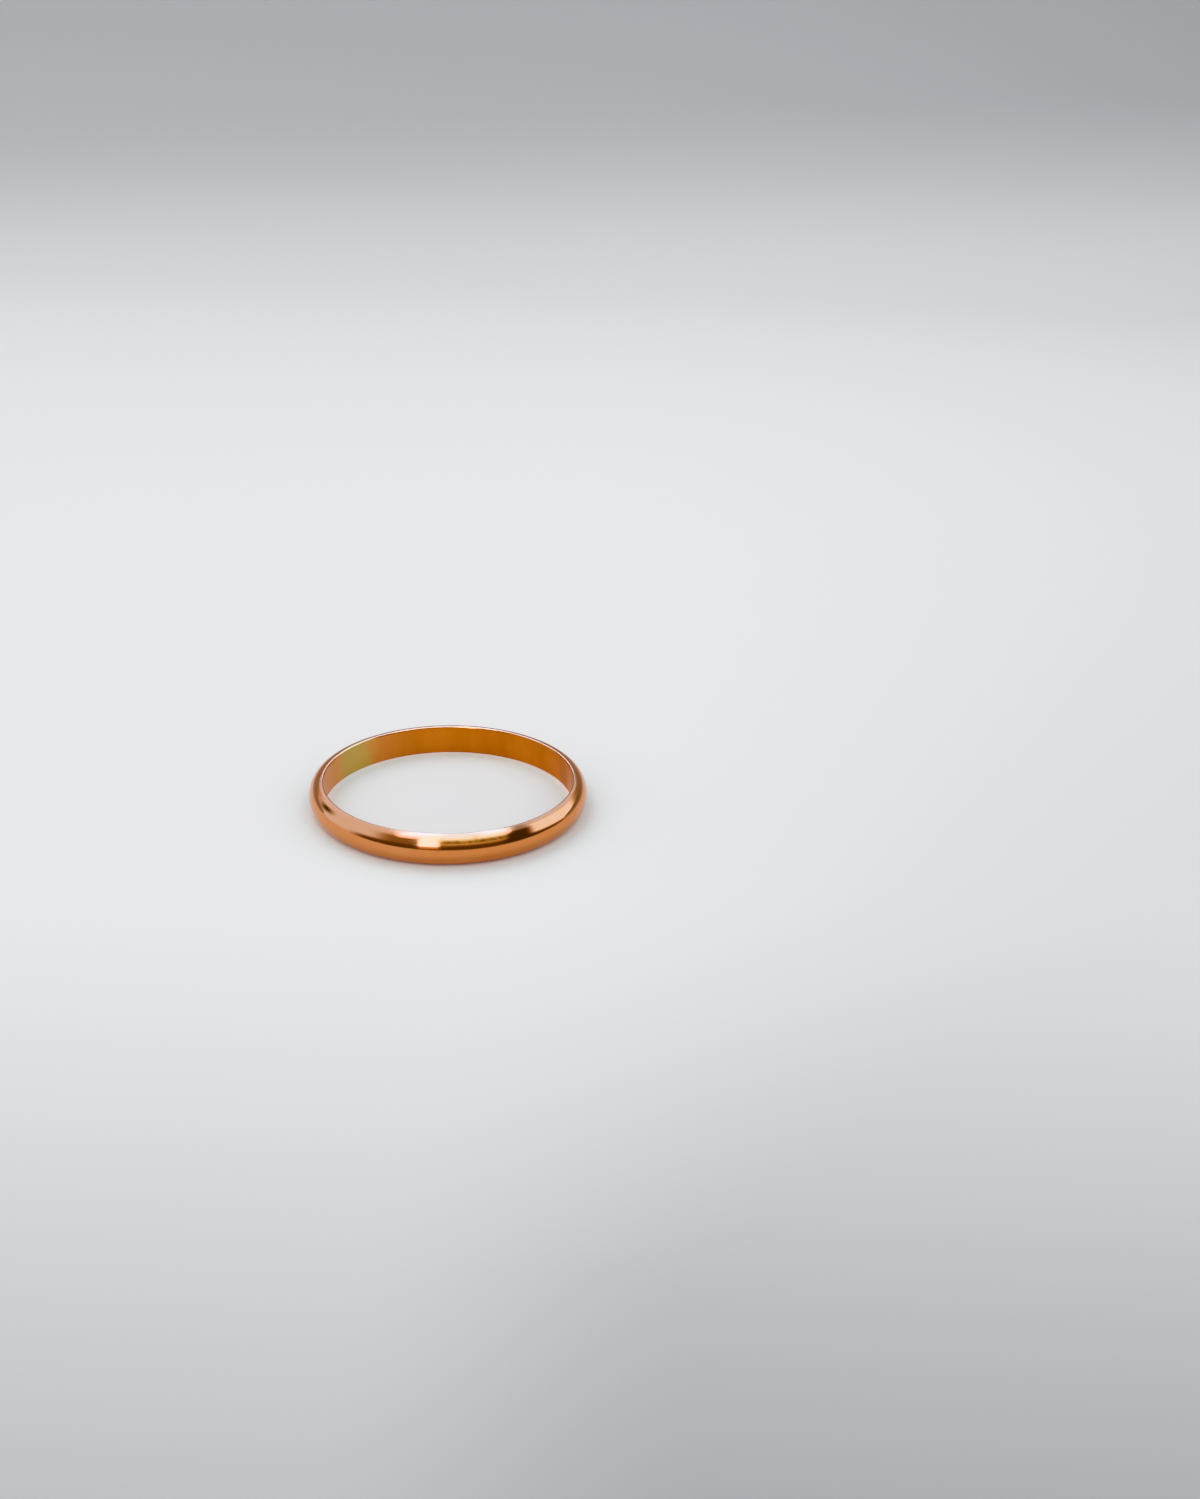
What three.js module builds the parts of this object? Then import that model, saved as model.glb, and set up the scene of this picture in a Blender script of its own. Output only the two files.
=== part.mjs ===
// A plain stacking ring of half-round wire, lying on its side: one closed band with a flat inner
// face, a domed outer face and a narrow flat strip along each side.
// Millimetres, +Z up. The origin is on the ring's axis, at the level of the surface that it lies on.
import * as THREE from 'three';

// Driving dimensions
const innerDiameter = 16.5; // finger hole, a US size 6
const bandWidth = 2.0; // measured along the finger, so the height of the ring as it lies
const bandThickness = 0.95; // from the inner face out to the crest of the dome
const sideStrip = 0.08; // flat strip on each side, which the ring rests on
const innerEdgeRadius = 0.08; // softened edge between the inner face and each side

// Fineness of the facets
const turnSteps = 120; // round the ring, a multiple of 4 so that it measures the same along X and Y
const domeSteps = 20; // across the domed outer face
const edgeSteps = 3; // across each softened inner edge

const innerRadius = innerDiameter / 2;

// Points along an elliptical arc of the section. x is the distance from the ring's axis and y the
// height above the surface.
function arc(centreX, centreY, radiusX, radiusY, startAngle, endAngle, steps) {
  return new THREE.EllipseCurve(
    centreX, centreY, radiusX, radiusY, startAngle, endAngle, false,
  ).getPoints(steps);
}

// The half-round section, closed on itself: lower inner edge, lower strip, dome, upper strip,
// upper inner edge, and straight down the inner face.
function halfRoundSection() {
  const stripStart = innerRadius + innerEdgeRadius;
  const domeStart = stripStart + sideStrip;
  const domeDepth = innerRadius + bandThickness - domeStart;
  const halfWidth = bandWidth / 2;
  const outline = [
    ...arc(stripStart, innerEdgeRadius, innerEdgeRadius, innerEdgeRadius,
      Math.PI, 1.5 * Math.PI, edgeSteps),
    ...arc(domeStart, halfWidth, domeDepth, halfWidth,
      -0.5 * Math.PI, 0.5 * Math.PI, domeSteps),
    ...arc(stripStart, bandWidth - innerEdgeRadius, innerEdgeRadius, innerEdgeRadius,
      0.5 * Math.PI, Math.PI, edgeSteps),
  ];
  outline.push(outline[0].clone());
  return outline;
}

const roseGold = new THREE.MeshStandardMaterial({
  color: new THREE.Color(0.9, 0.53, 0.33),
  metalness: 1,
  roughness: 0.12,
});

// The lathe turns the section about its own Y axis, which then stands up along +Z.
function makeBand() {
  const band = new THREE.Mesh(
    new THREE.LatheGeometry(halfRoundSection(), turnSteps),
    roseGold,
  );
  band.name = 'ring_band';
  band.rotation.x = Math.PI / 2;
  return band;
}

const stackingRing = new THREE.Group();
stackingRing.add(makeBand());

export default stackingRing;
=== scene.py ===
import math

import bpy
from mathutils import Matrix, Vector


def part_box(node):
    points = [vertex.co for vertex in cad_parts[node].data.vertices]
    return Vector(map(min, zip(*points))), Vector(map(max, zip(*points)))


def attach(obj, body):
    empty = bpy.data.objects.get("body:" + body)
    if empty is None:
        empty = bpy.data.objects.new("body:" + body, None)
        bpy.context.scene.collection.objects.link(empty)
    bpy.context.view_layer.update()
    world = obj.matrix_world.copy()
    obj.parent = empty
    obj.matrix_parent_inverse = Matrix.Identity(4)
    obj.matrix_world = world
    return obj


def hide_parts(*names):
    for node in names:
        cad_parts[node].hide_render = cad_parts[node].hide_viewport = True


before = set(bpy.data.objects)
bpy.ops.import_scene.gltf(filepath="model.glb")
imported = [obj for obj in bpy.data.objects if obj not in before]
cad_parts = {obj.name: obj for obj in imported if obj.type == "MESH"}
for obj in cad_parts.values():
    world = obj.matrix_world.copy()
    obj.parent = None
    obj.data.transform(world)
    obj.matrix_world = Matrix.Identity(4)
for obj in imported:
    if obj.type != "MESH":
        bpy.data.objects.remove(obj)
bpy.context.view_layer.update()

# A plain half-round stacking ring in polished rose gold, lying on its side on a pale surface.
# Metres, +Z up. The ring stands round the origin, which is at the level of the surface.
millimetre = 0.001


# Small helpers for modelling

def deselectAll():
    if bpy.context.mode != "OBJECT":
        bpy.ops.object.mode_set(mode="OBJECT")
    bpy.ops.object.select_all(action="DESELECT")


def selectVerts(obj, test):
    # picks the vertices of the edited mesh whose place passes the test
    bpy.ops.mesh.select_all(action="DESELECT")
    bpy.ops.object.mode_set(mode="OBJECT")
    for vert in obj.data.vertices:
        vert.select = test(vert.co)
    bpy.ops.object.mode_set(mode="EDIT")
    bpy.ops.mesh.select_mode(type="VERT")


def selectEdges(obj, test):
    # picks the edges of the edited mesh whose two ends both pass the test
    bpy.ops.mesh.select_mode(type="EDGE")
    bpy.ops.mesh.select_all(action="DESELECT")
    bpy.ops.object.mode_set(mode="OBJECT")
    places = [test(vert.co) for vert in obj.data.vertices]
    for edge in obj.data.edges:
        edge.select = all(places[end] for end in edge.vertices)
    bpy.ops.object.mode_set(mode="EDIT")


def applyPlace():
    bpy.ops.object.transform_apply(location=True, rotation=True, scale=True)


# Node helpers: every material here is a small tree of these

class Nodes:
    def __init__(self, tree):
        self.tree = tree
        self.tree.nodes.clear()

    def put(self, value, socket):
        # links another node's output, or sets a plain value
        if isinstance(value, bpy.types.NodeSocket):
            self.tree.links.new(value, socket)
        else:
            socket.default_value = value

    def add(self, kind, inputs=None, **settings):
        node = self.tree.nodes.new(kind)
        for name, value in settings.items():
            setattr(node, name, value)
        for key, value in (inputs or {}).items():
            self.put(value, node.inputs[key])
        return node

    def math(self, operation, first, second=0.0, third=0.0):
        inputs = {0: first, 1: second, 2: third}
        return self.add("ShaderNodeMath", inputs, operation=operation).outputs[0]

    def split(self, vector):
        return self.add("ShaderNodeSeparateXYZ", {0: vector}).outputs

    def join(self, x, y, z=0.0):
        return self.add("ShaderNodeCombineXYZ", {0: x, 1: y, 2: z}).outputs[0]

    def fromUpright(self, x, y):
        # how far a place lies from the upright axis
        squares = self.math("ADD", self.math("MULTIPLY", x, x), self.math("MULTIPLY", y, y))
        return self.math("SQRT", squares)

    def smooth(self, value, low, high, toLow=0.0, toHigh=1.0):
        # a soft step from low to high
        node = self.add(
            "ShaderNodeMapRange",
            {"Value": value, "From Min": low, "From Max": high, "To Min": toLow, "To Max": toHigh},
            interpolation_type="SMOOTHSTEP",
        )
        return node.outputs["Result"]

    def noise(self, place, scale, detail, roughness=0.5, fourth=None):
        # noise from 0 to 1. fourth is one more place value that it changes along
        inputs = {"Vector": place, "Scale": scale, "Detail": detail, "Roughness": roughness}
        settings = {}
        if fourth is not None:
            inputs["W"] = fourth
            settings["noise_dimensions"] = "4D"
        return self.add("ShaderNodeTexNoise", inputs, **settings).outputs["Fac"]

    def mixColor(self, share, first, second, blend="MIX"):
        node = self.add("ShaderNodeMix", data_type="RGBA", blend_type=blend)
        for key, value in ((0, share), (6, first), (7, second)):
            self.put(value, node.inputs[key])
        return node.outputs[2]


def newMaterial(name):
    material = bpy.data.materials.new(name)
    material.use_nodes = True
    return material, Nodes(material.node_tree)


# The metal. Lengths are in millimetres, and a scale is in patches or lines per millimetre.

roseGoldLook = {
    "color": (0.75, 0.308, 0.126, 1),
    "warmPatch": (0.73, 0.283, 0.101, 1),
    "warmRange": (0.42, 0.68),  # of the noise, from no warm patch to a full one
    "patchScale": 0.33,
    "roughness": 0.085,
    "wornRoughness": 0.1,  # added along the strongest polishing lines
    "wornRange": (0.5, 0.85),
}

# The inner face: a rougher finish, and a darker colour that is painted shade of the hole
shadedInsideLook = {
    "color": (0.69, 0.222, 0.030, 1),
    "patch": (0.57, 0.16, 0.008, 1),
    "patchRange": (0.32, 0.68),
    "patchScale": 0.55,
    "patchStretch": 0.4,  # less than 1 makes the patches taller than they are long
    "pale": (0.86, 0.385, 0.15, 1),  # painted reflection: lighter towards the seam's side
    "paintedPaleShare": 0.8,
    "paintedPaleSpan": (-1.5, -8.5),  # along X, from no pale to the full share
    "roughness": 0.32,
    "edge": (0.016, 0.002),  # outside the hole's wall, where this look, painted shade and a rougher finish, starts and is full
}

seamLook = {
    "color": (0.66, 0.47, 0.145, 1),
    "share": 0.9,
    "outsideShare": 0.5,  # how much of it is left on the outer face
    "turn": 149.0,  # degrees round from +X towards +Y
    "halfLength": 1.5,  # along the band
    "softness": 0.9,
    "wander": 1.8,  # how far its ends stray, from one extreme to the other
    "wanderScale": 1.4,
    "roughness": 0.06,  # added to the metal's
}

finishLook = {
    "lineDepth": 0.0011,
    "lineScale": 13.0,  # across the section
    "lineStretch": 0.35,  # along the band, where the lines change slowly
    "waveDepth": 0.0022,
    "waveScale": 0.55,
}


def seamMask(nodes, place, x, y, inside, holeRadius):
    # 1 on the solder seam, where the two ends of the wire meet
    turn = nodes.math("ARCTAN2", y, x)
    offTurn = nodes.math("SUBTRACT", turn, math.radians(seamLook["turn"]))
    offSeam = nodes.math("MULTIPLY", offTurn, holeRadius)
    noise = nodes.noise(place, seamLook["wanderScale"], detail=3.0)
    fromMiddle = nodes.math("SUBTRACT", noise, 0.5)  # half to each side
    wander = nodes.math("MULTIPLY", fromMiddle, seamLook["wander"])
    distance = nodes.math("ABSOLUTE", nodes.math("ADD", offSeam, wander))
    halfLength, softness = seamLook["halfLength"], seamLook["softness"]
    band = nodes.smooth(distance, halfLength + softness, halfLength - softness)
    outsideShare = seamLook["outsideShare"]
    strength = nodes.math("MULTIPLY_ADD", inside, 1 - outsideShare, outsideShare)
    return nodes.math("MULTIPLY", strength, band)


# the inner face's colour: darker, as painted shade of the hole, with random darker mottling
def shadedInsideColor(nodes, x, y, z):
    # the deeper, mottled finish of the inner face
    stretched = nodes.join(x, y, nodes.math("MULTIPLY", z, shadedInsideLook["patchStretch"]))
    patches = nodes.noise(stretched, shadedInsideLook["patchScale"], detail=2.0)
    mottle = nodes.smooth(patches, *shadedInsideLook["patchRange"])
    color = nodes.mixColor(mottle, shadedInsideLook["color"], shadedInsideLook["patch"])
    # painted reflection: the inner face lighter towards the seam's side
    paintedPaleSide = nodes.smooth(x, *shadedInsideLook["paintedPaleSpan"], 0.0, shadedInsideLook["paintedPaleShare"])
    return nodes.mixColor(paintedPaleSide, color, shadedInsideLook["pale"])


def roseGoldMaterial(innerRadius):
    material, nodes = newMaterial("polishedRoseGold")
    holeRadius = innerRadius / millimetre
    metres = nodes.add("ShaderNodeTexCoord").outputs["Object"]
    toMillimetres = (1 / millimetre,) * 3
    place = nodes.add("ShaderNodeMapping", {"Vector": metres, "Scale": toMillimetres}).outputs[0]
    x, y, z = nodes.split(place)
    radius = nodes.fromUpright(x, y)
    edgeStart, edgeFull = shadedInsideLook["edge"]
    inside = nodes.smooth(radius, holeRadius + edgeStart, holeRadius + edgeFull)

    # polishing lines run along the band: quick across the section, slow along it
    lineScale, stretch = finishLook["lineScale"], finishLook["lineStretch"]
    linePlace = nodes.join(
        nodes.math("MULTIPLY", x, stretch),
        nodes.math("MULTIPLY", y, stretch),
        nodes.math("MULTIPLY", z, lineScale),
    )
    lines = nodes.noise(
        linePlace,
        scale=1.0,  # the place holds the scale already
        detail=4.0,
        roughness=0.62,
        fourth=nodes.math("MULTIPLY", radius, lineScale),
    )
    waves = nodes.noise(place, finishLook["waveScale"], detail=1.0)
    patches = nodes.noise(place, roseGoldLook["patchScale"], detail=3.0, roughness=0.6)
    seam = seamMask(nodes, place, x, y, inside, holeRadius)

    warm = nodes.smooth(patches, *roseGoldLook["warmRange"])
    color = nodes.mixColor(warm, roseGoldLook["color"], roseGoldLook["warmPatch"])
    # painted shade: the inner face darker than the outer
    color = nodes.mixColor(inside, color, shadedInsideColor(nodes, x, y, z))
    seamShare = nodes.math("MULTIPLY", seam, seamLook["share"])
    color = nodes.mixColor(seamShare, color, seamLook["color"])

    roughness = roseGoldLook["roughness"]
    for mask, more in (
        (nodes.smooth(lines, *roseGoldLook["wornRange"]), roseGoldLook["wornRoughness"]),
        (inside, shadedInsideLook["roughness"] - roseGoldLook["roughness"]),
        (seam, seamLook["roughness"]),
    ):
        roughness = nodes.math("MULTIPLY_ADD", mask, more, roughness)

    height = nodes.math(
        "ADD",
        nodes.math("MULTIPLY", lines, finishLook["lineDepth"] * millimetre),
        nodes.math("MULTIPLY", waves, finishLook["waveDepth"] * millimetre),
    )
    bump = nodes.add("ShaderNodeBump", {"Height": height, "Distance": 1.0, "Strength": 1.0})
    shader = nodes.add("ShaderNodeBsdfPrincipled", {
        "Base Color": color,
        "Roughness": roughness,
        "Normal": bump.outputs[0],
        "Metallic": 1.0,
    })
    nodes.add("ShaderNodeOutputMaterial", {"Surface": shader.outputs[0]})
    return material


# The band

bandShape = {
    "thickness": 0.95 * millimetre,
    "sideStrip": 0.08 * millimetre,
    "innerEdge": 0.08 * millimetre,
    "innerEdgeSteps": 4,
    "faceCuts": 7,  # across the inner face
    "domePoints": 72,  # of the whole circle, half of which is kept
    "turnSteps": 180,
    "smoothing": 1,
}


def buildBand():
    low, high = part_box("ring_band")
    width = high.z - low.z
    midHeight = width / 2
    outerRadius = (high.x - low.x) / 2
    innerRadius = outerRadius - bandShape["thickness"]
    sideDepth = bandShape["innerEdge"] + bandShape["sideStrip"]
    domeStart = innerRadius + sideDepth
    domeDepth = outerRadius - domeStart
    small = 0.001 * millimetre  # for picking points and joining those that meet

    # the dome's section: a disc standing on the surface, flattened to an ellipse and cut in half
    deselectAll()
    bpy.ops.mesh.primitive_circle_add(
        vertices=bandShape["domePoints"],
        radius=midHeight,
        fill_type="NGON",
        location=(domeStart, 0, midHeight),
        rotation=(math.pi / 2, 0, 0),
    )
    band = bpy.context.object
    band.name = "rose_gold_band"
    applyPlace()
    bpy.ops.object.mode_set(mode="EDIT")
    bpy.ops.mesh.select_all(action="SELECT")
    bpy.ops.transform.resize(
        value=(domeDepth / midHeight, 1, 1),
        center_override=(domeStart, 0, midHeight),
    )
    bpy.ops.mesh.bisect(
        plane_co=(domeStart, 0, 0),
        plane_no=(1, 0, 0),
        clear_inner=True,
        threshold=small,
    )

    # the flat body behind the dome, joined to it as one outline
    selectVerts(band, lambda co: abs(co.x - domeStart) < small)
    bpy.ops.mesh.extrude_region_move(TRANSFORM_OT_translate={"value": (-sideDepth, 0, 0)})
    selectEdges(band, lambda co: abs(co.x - domeStart) < small)
    bpy.ops.mesh.dissolve_edges()
    selectEdges(band, lambda co: co.x < innerRadius + small)
    bpy.ops.mesh.subdivide(number_cuts=bandShape["faceCuts"])
    bpy.ops.mesh.select_all(action="SELECT")
    bpy.ops.mesh.delete(type="ONLY_FACE")

    # turned once round the finger
    bpy.ops.mesh.select_all(action="SELECT")
    bpy.ops.mesh.spin(
        steps=bandShape["turnSteps"],
        angle=2 * math.pi,
        center=(0, 0, 0),
        axis=(0, 0, 1),
    )
    bpy.ops.mesh.select_all(action="SELECT")
    bpy.ops.mesh.remove_doubles(threshold=small)
    bpy.ops.mesh.select_all(action="SELECT")
    bpy.ops.mesh.normals_make_consistent(inside=False)

    # the two edges of the finger hole, rounded
    def onHoleEdge(co):
        onWall = co.xy.length < innerRadius + small
        return onWall and abs(co.z - midHeight) > midHeight - small

    selectEdges(band, onHoleEdge)
    bpy.ops.mesh.bevel(
        offset=bandShape["innerEdge"],
        segments=bandShape["innerEdgeSteps"],
        affect="EDGES",
    )
    bpy.ops.object.mode_set(mode="OBJECT")
    bpy.ops.object.shade_smooth()

    smoothing = band.modifiers.new("smoothing", "SUBSURF")
    smoothing.levels = bandShape["smoothing"]
    smoothing.render_levels = bandShape["smoothing"]
    bpy.ops.object.modifier_apply(modifier=smoothing.name)

    band.data.materials.append(roseGoldMaterial(innerRadius))
    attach(band, "root")
    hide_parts("ring_band")
    print("band:", len(band.data.vertices), "points,", len(band.data.polygons), "faces")


# The surface that the ring lies on, swept up into a plain backdrop. Its soft shading is painted
# on it. A span runs from where a shade starts to where it is full.

stageShape = {
    "side": 3.0,
    "backAt": 0.42,
    "wallHeight": 0.2,
    "sweep": 0.15,
    "sweepSteps": 32,
}

paperLook = {
    "color": (0.80, 0.805, 0.82, 1),
    "shadeColor": (0.01, 0.022, 0.045, 1),
    "near": {"share": 0.72, "span": (-0.009, -0.1)},  # along Y, darker towards the camera
    "far": {"share": 0.19, "span": (0.02, 0.42)},  # along Y, darker away from it
    "wall": {"share": 0.25, "span": (-0.008, 0.042), "lean": -0.06},  # up Z, leaning along X
    "right": {
        "share": 0.14,
        "span": (0.0, 0.5),  # along X, as a share of the reach
        "reach": (2.0, 0.115),  # how far it reaches to the right: its growth along Y, and at Y 0
        "leastReach": 0.03,
        "fadeSpan": (-0.14, -0.06),  # along Y, where it fades in
    },
    "insideRing": {"share": 0.06, "span": (0.013, 0.0), "at": (0.001, 0.001, 0)},
    "ringLine": 0.0086,  # radius of the circle on which the ring touches the surface
    "besideRing": (0.975, 1.015, 1.01, 1),  # takes off the pink that the metal throws on it
    "besideSpan": (0.0045, 0.0006),
    "underRing": (0.95, 0.94, 0.93, 1),  # lighter, where the ring would shade it too deeply
    "underSpan": (0.0009, 0.0002),
}


def paperShade(nodes, place, x, y, z):
    # how dark the paper is, from 0 to 1
    def shadeAlong(name, value):
        return nodes.smooth(value, *paperLook[name]["span"], 0.0, paperLook[name]["share"])

    right = paperLook["right"]
    growth, reachAtRing = right["reach"]
    reach = nodes.math(
        "MAXIMUM",
        nodes.math("MULTIPLY_ADD", y, growth, reachAtRing),
        right["leastReach"],
    )
    sideways = nodes.math("DIVIDE", x, reach)
    fadeIn = nodes.smooth(y, *right["fadeSpan"])
    leaningHeight = nodes.math("MULTIPLY_ADD", x, paperLook["wall"]["lean"], z)
    fromMiddle = nodes.add(
        "ShaderNodeVectorMath",
        {0: place, 1: paperLook["insideRing"]["at"]},
        operation="DISTANCE",
    ).outputs["Value"]
    shade = shadeAlong("near", y)
    for part in (
        shadeAlong("far", y),
        shadeAlong("wall", leaningHeight),
        nodes.math("MULTIPLY", fadeIn, shadeAlong("right", sideways)),
        shadeAlong("insideRing", fromMiddle),
    ):
        shade = nodes.math("ADD", shade, part)
    return shade


def paperMaterial():
    material, nodes = newMaterial("paleSurface")
    place = nodes.add("ShaderNodeTexCoord").outputs["Object"]
    x, y, z = nodes.split(place)
    shade = paperShade(nodes, place, x, y, z)
    color = nodes.mixColor(shade, paperLook["color"], paperLook["shadeColor"])

    fromOrigin = nodes.add("ShaderNodeVectorMath", {0: place}, operation="LENGTH")
    offLine = nodes.math("SUBTRACT", fromOrigin.outputs["Value"], paperLook["ringLine"])
    offRing = nodes.math("ABSOLUTE", offLine)
    beside = nodes.smooth(offRing, *paperLook["besideSpan"])
    color = nodes.mixColor(beside, color, paperLook["besideRing"], blend="MULTIPLY")
    under = nodes.smooth(offRing, *paperLook["underSpan"])
    color = nodes.mixColor(under, color, paperLook["underRing"])
    surface = nodes.add("ShaderNodeBsdfDiffuse", {"Color": color})
    nodes.add("ShaderNodeOutputMaterial", {"Surface": surface.outputs[0]})
    return material


def buildStage():
    side, backAt = stageShape["side"], stageShape["backAt"]
    near = 0.01  # for picking the edge at the back
    deselectAll()
    bpy.ops.mesh.primitive_plane_add(size=side, location=(0, backAt - side / 2, 0))
    floor = bpy.context.object
    floor.name = "pale_surface"
    applyPlace()
    bpy.ops.object.mode_set(mode="EDIT")
    selectVerts(floor, lambda co: co.y > backAt - near)
    bpy.ops.mesh.extrude_region_move(
        TRANSFORM_OT_translate={"value": (0, 0, stageShape["wallHeight"])},
    )
    selectEdges(floor, lambda co: co.y > backAt - near and co.z < near)
    bpy.ops.mesh.bevel(
        offset=stageShape["sweep"],
        segments=stageShape["sweepSteps"],
        affect="EDGES",
    )
    bpy.ops.mesh.select_all(action="SELECT")
    bpy.ops.mesh.normals_make_consistent(inside=False)
    bpy.ops.object.mode_set(mode="OBJECT")
    bpy.ops.object.shade_smooth()
    floor.data.materials.append(paperMaterial())
    print("surface: done")


# Soft studio light: a dome round the ring, painted with what the metal mirrors. The zones fan out
# from a fixed point behind the ring and below the surface. Across is the turn round that point,
# 0 to the front and 90 to the right, and up is the tilt above it, both in degrees. So laid out, a
# zone shows as a plain rectangle on the ring: across is then the turn round the ring, and up the
# metal's tilt. A later zone covers the earlier ones.

domeShape = {
    "radius": 1.2,
    "lowest": -0.02,  # it reaches a little below the surface
    "turnSteps": 72,
    "tiltSteps": 36,
    "fanPoint": (-0.129, 1.149, -0.556),
    "crestRadius": 0.113,  # of the small circle round the point that the ring's crest mirrors
    "overTop": 68.4,  # tilt above which a place behind the point counts as in front of it
    "strength": 1.12,
    "roomColor": (1.0, 0.97, 0.9, 1),
    "roomGlow": 0.6,
    "streakScale": 0.8,  # streaks per degree across
    "streakStretch": 0.04,  # upwards, where they change slowly
    "streakRange": (0.3, 0.75),
}

zones = {
    "farLeft": {
        "across": (-140, -64.7), "up": (10, 100), "soft": (6, 10),
        "color": (1.0, 0.8, 0.37), "glow": 0.36,
    },
    "leftRoom": {
        "across": (-59.2, -17), "up": (18, 100), "soft": (6, 10),
        "color": (0.82, 1.1, 1.7), "glow": 1.03,
    },
    "rightRoom": {
        "across": (40, 67.8), "up": (24, 72), "soft": (3, 6),
        "color": (0.72, 1.1, 1.85), "glow": 1.8,
    },
    "upperRight": {
        "across": (39, 68), "up": (66, 104), "soft": (3, 6),
        "color": (0.75, 1.1, 1.8), "glow": 1.1,
    },
    "farRight": {
        "across": (73, 130), "up": (20, 80), "soft": (4, 8),
        "color": (1.0, 0.9, 0.8), "glow": 0.3,
    },
    "leftSmudge": {
        "across": (-57.2, -48.7), "up": (42, 61), "soft": (4, 7),
        "color": (0.9, 0.95, 0.8), "glow": 0.055,
    },
    "darkLeft": {
        "across": (-22, -4), "up": (14, 55), "soft": (6, 8),
        "color": (1.0, 0.9, 0.8), "glow": 0.29,
    },
    "darkLow": {
        "across": (-33, 64.5), "up": (6, 27), "soft": (5, 5),
        "color": (1.0, 0.82, 0.8), "glow": 0.12,
    },
    "darkRight": {
        "across": (28, 41), "up": (14, 59), "soft": (2.5, 8),
        "color": (0.9, 0.8, 0.8), "glow": 0.078,
    },
    "duskRight": {
        "across": (29.5, 40), "up": (58, 104), "soft": (3, 8),
        "color": (0.78, 1.05, 1.5), "glow": 0.52,
    },
    "goldenWall": {
        "across": (1, 29.5), "up": (29, 58), "soft": (1.2, 2.5),
        "color": (1.0, 1.05, 0.78), "glow": 0.46, "streaks": 0.8,
    },
    "goldenLine": {
        "across": (2.5, 28), "up": (30, 32.5), "soft": (1.5, 1.0),
        "color": (1.0, 1.1, 0.85), "glow": 0.85,
    },
    "paleWall": {
        "across": (1.5, 29.5), "up": (43, 60), "soft": (1.2, 4),
        "color": (0.6, 0.92, 1.1), "glow": 1.35, "streaks": 0.4,
    },
    "whitePanel": {
        "across": (-14.9, 31.1), "up": (57, 115), "soft": (1.5, 12),
        "color": (0.25, 0.55, 1.3), "glow": 11.5,
    },
    "panelMiddle": {
        "across": (1, 22), "up": (60, 115), "soft": (5, 9),
        "color": (0.25, 0.51, 1.18), "glow": 5.9,
    },
    "panelGap": {
        "across": (16.5, 17.3), "up": (36, 68), "soft": (0.6, 8),
        "color": (0.8, 1.0, 0.9), "glow": 0.4,
    },
    "window": {
        "across": (-5.6, 1.8), "up": (23.6, 71), "soft": (0.5, 1.5),
        "color": (0.42, 0.74, 1.12), "glow": 12.5,
    },
    "windowFoot": {
        "across": (-5.9, 2.1), "up": (16.5, 23.6), "soft": (0.6, 1.5),
        "color": (1.0, 0.68, 0.58), "glow": 0.88,
    },
}


def fanAngles(nodes):
    # the two angles of each place on the dome, in degrees
    place = nodes.add("ShaderNodeTexCoord").outputs["Object"]
    fromPoint = nodes.add(
        "ShaderNodeVectorMath",
        {0: place, 1: domeShape["fanPoint"]},
        operation="SUBTRACT",
    ).outputs[0]
    x, y, z = nodes.split(fromPoint)
    pastCrest = nodes.math("SUBTRACT", nodes.fromUpright(x, y), domeShape["crestRadius"])
    tilt = nodes.math("DEGREES", nodes.math("ARCTAN2", z, pastCrest))
    ahead = nodes.math("MULTIPLY", y, -1.0)
    # -1 turns a place behind the point and above the limit round to the front, 1 leaves it
    facing = nodes.math(
        "MAXIMUM",
        nodes.math("SIGN", nodes.math("SUBTRACT", domeShape["overTop"], tilt)),
        nodes.math("SIGN", ahead),
    )
    sideways = nodes.math("MULTIPLY", x, facing)
    forward = nodes.math("MULTIPLY", ahead, facing)
    across = nodes.math("DEGREES", nodes.math("ARCTAN2", sideways, forward))
    return across, tilt


def softBetween(nodes, value, ends, soft):
    # 1 between the two ends, with soft edges
    start, end = ends
    rising = nodes.smooth(value, start - soft, start + soft)
    falling = nodes.smooth(value, end + soft, end - soft)
    return nodes.math("MULTIPLY", rising, falling)


def streakyGlow(nodes, across, tilt, zone):
    # the zone's glow with upright streaks
    slowly = nodes.math("MULTIPLY", tilt, domeShape["streakStretch"])
    place = nodes.join(across, slowly)
    noise = nodes.noise(place, domeShape["streakScale"], detail=3.0, roughness=0.65)
    streaks = nodes.smooth(noise, *domeShape["streakRange"])
    uneven = nodes.math("MULTIPLY_ADD", streaks, 2 * zone["streaks"], 1 - zone["streaks"])
    return nodes.math("MULTIPLY", uneven, zone["glow"])


def domeMaterial():
    material, nodes = newMaterial("studioGlow")
    across, tilt = fanAngles(nodes)
    color = domeShape["roomColor"]
    glow = domeShape["roomGlow"]
    for zone in zones.values():
        softAcross, softUp = zone["soft"]
        mask = nodes.math(
            "MULTIPLY",
            softBetween(nodes, across, zone["across"], softAcross),
            softBetween(nodes, tilt, zone["up"], softUp),
        )
        zoneGlow = streakyGlow(nodes, across, tilt, zone) if "streaks" in zone else zone["glow"]
        color = nodes.mixColor(mask, color, (*zone["color"], 1))
        mixed = nodes.add("ShaderNodeMix", {0: mask, 2: glow, 3: zoneGlow}, data_type="FLOAT")
        glow = mixed.outputs[0]
    strength = nodes.math("MULTIPLY", glow, domeShape["strength"])
    light = nodes.add("ShaderNodeEmission", {"Color": color, "Strength": strength})
    nodes.add("ShaderNodeOutputMaterial", {"Surface": light.outputs[0]})
    material.cycles.emission_sampling = "NONE"
    return material


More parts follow.
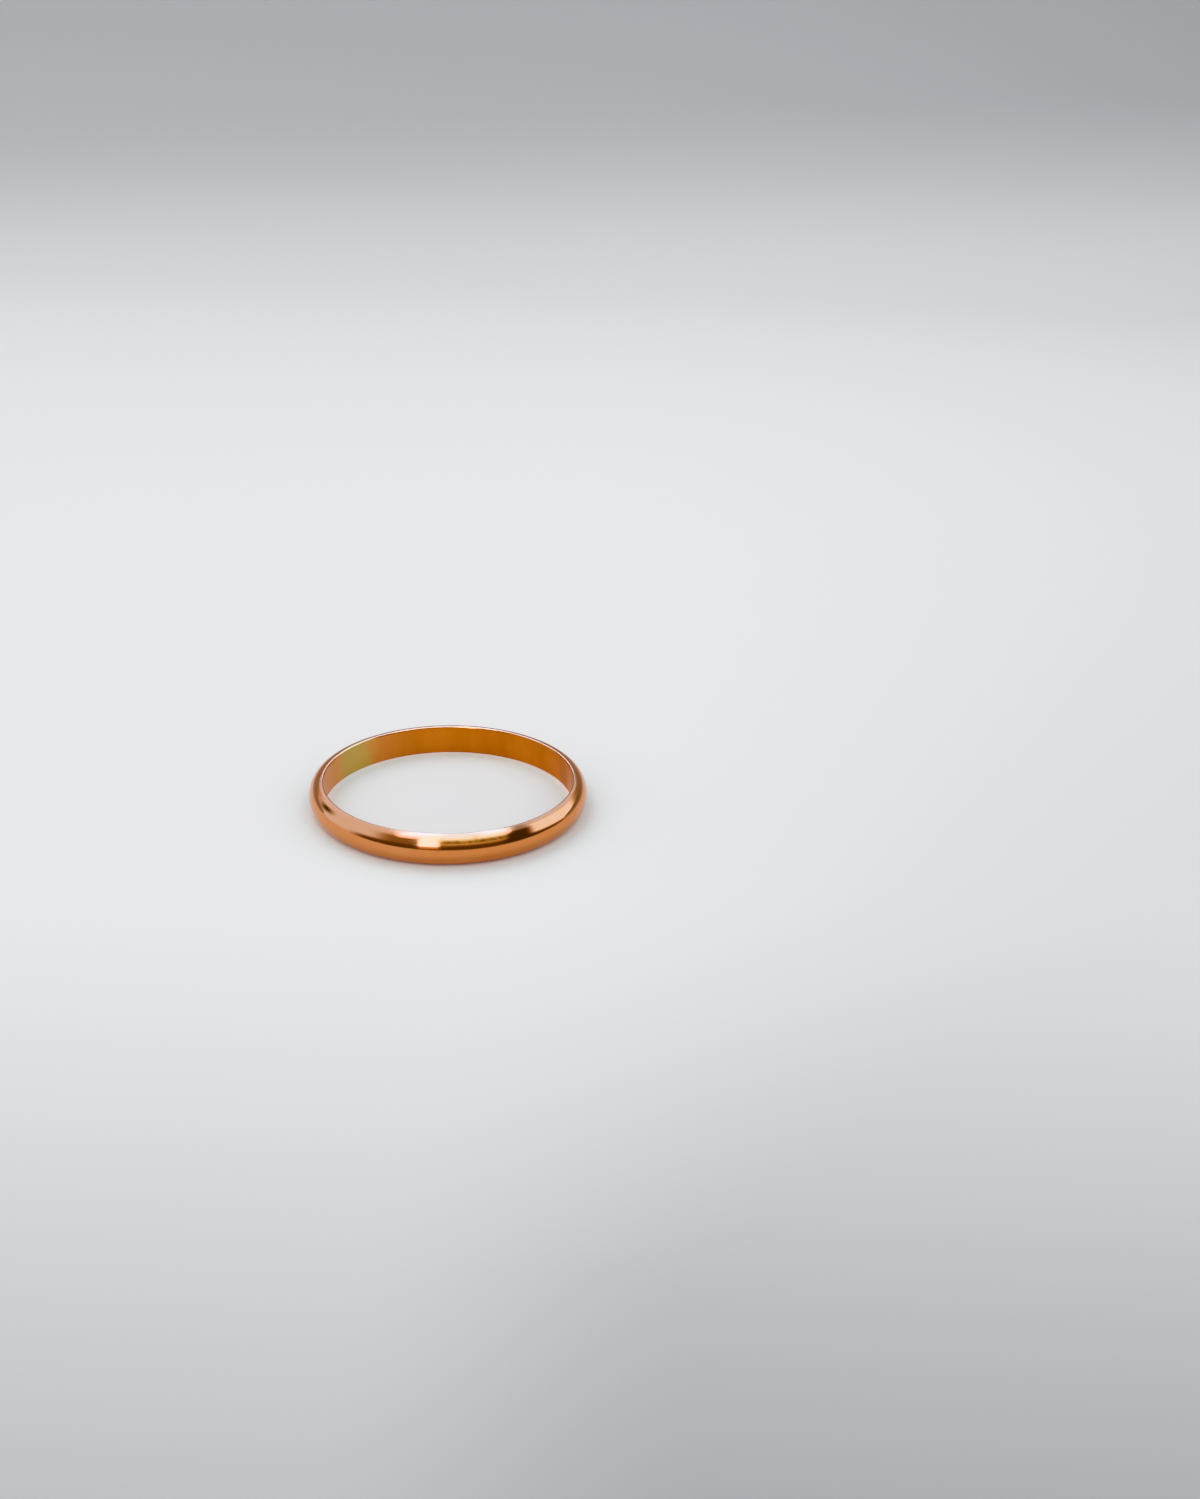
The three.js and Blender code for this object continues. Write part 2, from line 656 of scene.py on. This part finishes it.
def buildDome():
    deselectAll()
    bpy.ops.mesh.primitive_uv_sphere_add(
        segments=domeShape["turnSteps"],
        ring_count=domeShape["tiltSteps"],
        radius=domeShape["radius"],
    )
    dome = bpy.context.object
    dome.name = "light_dome"
    bpy.ops.object.mode_set(mode="EDIT")
    bpy.ops.mesh.select_all(action="SELECT")
    bpy.ops.mesh.bisect(
        plane_co=(0, 0, domeShape["lowest"]),
        plane_no=(0, 0, 1),
        clear_inner=True,
    )
    bpy.ops.object.mode_set(mode="OBJECT")
    dome.data.materials.append(domeMaterial())
    # only the metal sees it
    dome.visible_camera = False
    dome.visible_diffuse = False
    dome.visible_shadow = False


# What lights the surface: an even room and a soft box above at the back left. The metal mirrors
# the dome in their place.

roomLight = {"color": (0.99, 0.995, 1.0, 1), "strength": 1.04}

softBox = {
    "at": (-0.35, 0.45, 0.8),
    "side": 0.6,
    "color": (1.0, 0.995, 0.985, 1),
    "strength": 2.3,
}


def buildRoom():
    world = bpy.data.worlds.new("softRoom")
    world.use_nodes = True
    nodes = Nodes(world.node_tree)
    background = nodes.add(
        "ShaderNodeBackground",
        {"Color": roomLight["color"], "Strength": roomLight["strength"]},
    )
    nodes.add("ShaderNodeOutputWorld", {"Surface": background.outputs[0]})
    bpy.context.scene.world = world
    world.cycles_visibility.glossy = False

    deselectAll()
    bpy.ops.mesh.primitive_plane_add(size=softBox["side"], location=softBox["at"])
    box = bpy.context.object
    box.name = "soft_box"
    box.rotation_euler = Vector(softBox["at"]).to_track_quat("Z", "Y").to_euler()
    applyPlace()
    material, nodes = newMaterial("softBoxGlow")
    glow = nodes.add(
        "ShaderNodeEmission",
        {"Color": softBox["color"], "Strength": softBox["strength"]},
    )
    nodes.add("ShaderNodeOutputMaterial", {"Surface": glow.outputs[0]})
    box.data.materials.append(material)
    box.visible_camera = False
    box.visible_glossy = False


# The camera, where the photograph was taken from

cameraSetup = {
    "lens": 35.25,
    "sensor": 36.0,
    "clip": (0.005, 20),
    "distance": 0.099,  # from the middle of the ring's lower side
    "lookDown": 24.12,
    "roll": 2.04,
    "picture": (1200, 1499),
    "ringAt": (449.4, 802.9),  # where the picture shows the middle of the ring's lower side
}


def buildCamera():
    setup = cameraSetup
    across, down = setup["picture"]
    ringX, ringY = setup["ringAt"]
    pixels = setup["lens"] / setup["sensor"] * max(across, down)
    toRing = Vector((
        (ringX - across / 2) / pixels,
        -(ringY - down / 2) / pixels,
        -1,
    )).normalized()
    aim = Matrix.Rotation(math.radians(90 - setup["lookDown"]), 4, "X")
    aim = aim @ Matrix.Rotation(math.radians(setup["roll"]), 4, "Z")
    place = -(aim @ toRing) * setup["distance"]
    data = bpy.data.cameras.new("camera")
    data.lens = setup["lens"]
    data.sensor_width = setup["sensor"]
    data.clip_start, data.clip_end = setup["clip"]
    camera = bpy.data.objects.new("camera", data)
    bpy.context.scene.collection.objects.link(camera)
    camera.matrix_world = Matrix.Translation(place) @ aim
    bpy.context.scene.camera = camera
    print("camera at", [round(c / millimetre, 1) for c in place], "mm")


buildCamera()
buildBand()
buildStage()
buildDome()
buildRoom()
print("light:", len(zones), "zones")

scene = bpy.context.scene
scene.view_settings.view_transform = "Khronos PBR Neutral"
scene.view_settings.look = "None"
